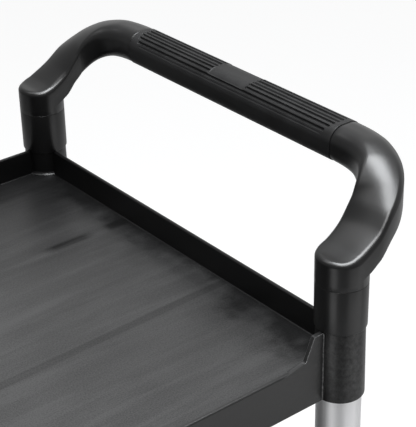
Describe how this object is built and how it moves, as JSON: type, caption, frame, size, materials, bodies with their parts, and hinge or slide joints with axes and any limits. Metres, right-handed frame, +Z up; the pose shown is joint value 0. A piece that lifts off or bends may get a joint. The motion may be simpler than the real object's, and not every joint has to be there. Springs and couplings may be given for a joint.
{
  "type": "utility cart",
  "caption": "Black resin tray cart on swivel casters with aluminium corner posts, and a moulded arch handle with a ribbed rubber grip at each end.",
  "frame": {"origin": "on the floor, midway between the four casters", "axes": "+X along the trays towards the front handle, +Y towards the closed long side, +Z up"},
  "size_m": [1.0328, 0.5012, 0.9576],
  "materials": {
    "black_resin": "satin, finely textured",
    "satin_black_handle": "smooth satin",
    "grip_rubber": "matt",
    "brushed_aluminium": "brushed",
    "zinc_plated_steel": "zinc plated",
    "grey_tyre": "matt",
    "wheel_core": "satin"
  },
  "bodies": {
    "cart": {"top_tray": "black_resin", "middle_tray": "black_resin", "bottom_tray": "black_resin", "lower_tube_front_left": "brushed_aluminium", "upper_tube_front_left": "brushed_aluminium", "handle_post_front_left": "brushed_aluminium", "collar_front_left": "black_resin", "handle_screw_front_left": "zinc_plated_steel", "caster_plug_front_left": "black_resin", "caster_stem_front_left": "zinc_plated_steel", "lower_tube_front_right": "brushed_aluminium", "upper_tube_front_right": "brushed_aluminium", "handle_post_front_right": "brushed_aluminium", "collar_front_right": "black_resin", "handle_screw_front_right": "zinc_plated_steel", "caster_plug_front_right": "black_resin", "caster_stem_front_right": "zinc_plated_steel", "lower_tube_rear_left": "brushed_aluminium", "upper_tube_rear_left": "brushed_aluminium", "handle_post_rear_left": "brushed_aluminium", "collar_rear_left": "black_resin", "handle_screw_rear_left": "zinc_plated_steel", "caster_plug_rear_left": "black_resin", "caster_stem_rear_left": "zinc_plated_steel", "lower_tube_rear_right": "brushed_aluminium", "upper_tube_rear_right": "brushed_aluminium", "handle_post_rear_right": "brushed_aluminium", "collar_rear_right": "black_resin", "handle_screw_rear_right": "zinc_plated_steel", "caster_plug_rear_right": "black_resin", "caster_stem_rear_right": "zinc_plated_steel", "handle_front": "satin_black_handle", "grip_front": "grip_rubber", "handle_rear": "satin_black_handle", "grip_rear": "grip_rubber"},
    "swivel_front_left": {"fork_front_left": "zinc_plated_steel", "swivel_race_front_left": "zinc_plated_steel", "axle_bolt_front_left": "zinc_plated_steel", "axle_nut_front_left": "zinc_plated_steel"},
    "wheel_front_left": {"wheel_hub_front_left": "wheel_core", "tyre_front_left": "grey_tyre"},
    "swivel_front_right": {"fork_front_right": "zinc_plated_steel", "swivel_race_front_right": "zinc_plated_steel", "axle_bolt_front_right": "zinc_plated_steel", "axle_nut_front_right": "zinc_plated_steel"},
    "wheel_front_right": {"wheel_hub_front_right": "wheel_core", "tyre_front_right": "grey_tyre"},
    "swivel_rear_left": {"fork_rear_left": "zinc_plated_steel", "swivel_race_rear_left": "zinc_plated_steel", "axle_bolt_rear_left": "zinc_plated_steel", "axle_nut_rear_left": "zinc_plated_steel"},
    "wheel_rear_left": {"wheel_hub_rear_left": "wheel_core", "tyre_rear_left": "grey_tyre"},
    "swivel_rear_right": {"fork_rear_right": "zinc_plated_steel", "swivel_race_rear_right": "zinc_plated_steel", "axle_bolt_rear_right": "zinc_plated_steel", "axle_nut_rear_right": "zinc_plated_steel"},
    "wheel_rear_right": {"wheel_hub_rear_right": "wheel_core", "tyre_rear_right": "grey_tyre"}
  },
  "joints": [
    {"name": "caster_swivel_front_left", "type": "hinge", "parent": "cart", "child": "swivel_front_left", "pos_m": [0.418, 0.2275, 0.122], "axis": [0, 0, 1], "continuous": true},
    {"name": "wheel_spin_front_left", "type": "hinge", "parent": "swivel_front_left", "child": "wheel_front_left", "pos_m": [0.382, 0.2275, 0.05], "axis": [0, 1, 0], "continuous": true},
    {"name": "caster_swivel_front_right", "type": "hinge", "parent": "cart", "child": "swivel_front_right", "pos_m": [0.418, -0.2275, 0.122], "axis": [0, 0, 1], "continuous": true},
    {"name": "wheel_spin_front_right", "type": "hinge", "parent": "swivel_front_right", "child": "wheel_front_right", "pos_m": [0.382, -0.2275, 0.05], "axis": [0, 1, 0], "continuous": true},
    {"name": "caster_swivel_rear_left", "type": "hinge", "parent": "cart", "child": "swivel_rear_left", "pos_m": [-0.418, 0.2275, 0.122], "axis": [0, 0, 1], "continuous": true},
    {"name": "wheel_spin_rear_left", "type": "hinge", "parent": "swivel_rear_left", "child": "wheel_rear_left", "pos_m": [-0.454, 0.2275, 0.05], "axis": [0, 1, 0], "continuous": true},
    {"name": "caster_swivel_rear_right", "type": "hinge", "parent": "cart", "child": "swivel_rear_right", "pos_m": [-0.418, -0.2275, 0.122], "axis": [0, 0, 1], "continuous": true},
    {"name": "wheel_spin_rear_right", "type": "hinge", "parent": "swivel_rear_right", "child": "wheel_rear_right", "pos_m": [-0.454, -0.2275, 0.05], "axis": [0, 1, 0], "continuous": true}
  ]
}
